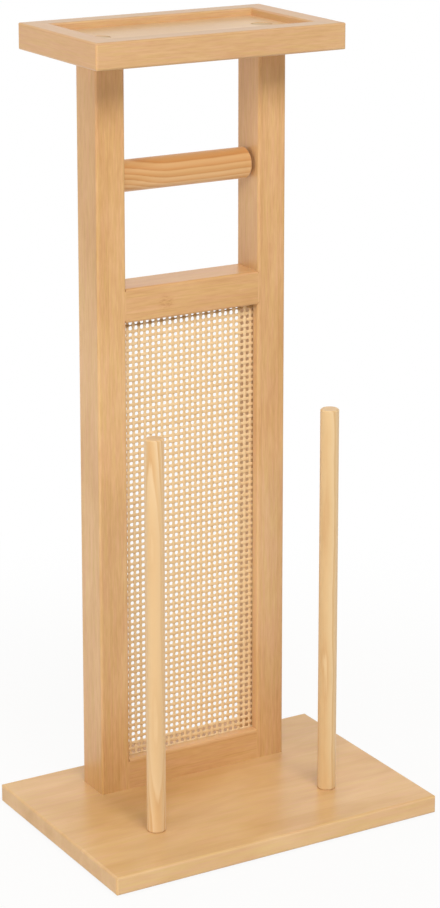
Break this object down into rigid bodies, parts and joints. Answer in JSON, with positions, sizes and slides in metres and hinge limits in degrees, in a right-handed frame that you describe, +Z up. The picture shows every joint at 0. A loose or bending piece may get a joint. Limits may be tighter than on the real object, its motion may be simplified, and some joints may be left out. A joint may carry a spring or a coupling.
{
  "type": "toilet paper stand",
  "caption": "Free-standing toilet paper stand: base board, two posts with a cane panel, sprung roll bar, shallow top tray and upright spindles for spare rolls.",
  "frame": {"origin": "on the floor under the middle of the whole stand's box, at the undersides of the foot pads", "axes": "+Z up; +X to the right seen from the front, along the roll bar; +Y from the spindles at the front towards the posts at the back"},
  "size_m": [0.372, 0.278, 0.809],
  "materials": {
    "bamboo": "clear matt lacquer on laminated bamboo",
    "pine": "clear matt lacquer on turned pine",
    "cane": "natural woven cane",
    "zinc_steel": "bright zinc plate",
    "pad_rubber": "matt anti-slip pad"
  },
  "bodies": {
    "stand": {"base_board": "bamboo", "foot_pads": "pad_rubber", "post_left": "bamboo", "post_right": "bamboo", "middle_rail": "bamboo", "bottom_rail": "bamboo", "rail_dowels": "pine", "cane_mesh": "cane", "tray_floor": "bamboo", "tray_rim_front": "bamboo", "tray_rim_back": "bamboo", "tray_rim_left": "bamboo", "tray_rim_right": "bamboo", "tray_bolts": "zinc_steel", "tray_bolt_caps": "bamboo", "post_top_nuts": "zinc_steel", "post_bolts": "zinc_steel", "post_foot_nuts": "zinc_steel", "spindle_left": "pine", "spindle_right": "pine", "spindle_bolts": "zinc_steel", "spindle_nuts": "zinc_steel"},
    "sprung_pin": {"plunger": "zinc_steel", "bar_spring": "zinc_steel"},
    "bar": {"roll_bar": "pine", "bar_end_pin": "zinc_steel", "bar_bush": "zinc_steel"}
  },
  "joints": [
    {"name": "bar_spin", "type": "hinge", "parent": "stand", "child": "sprung_pin", "pos_m": [0, 0.056, 0.661], "axis": [1, 0, 0], "continuous": true},
    {"name": "bar_release", "type": "slide", "parent": "sprung_pin", "child": "bar", "axis": [1, 0, 0], "range_m": [0, 0.0037], "stiffness_N_per_m": 720, "springref_m": -0.005, "deforming": ["bar_spring"]}
  ]
}
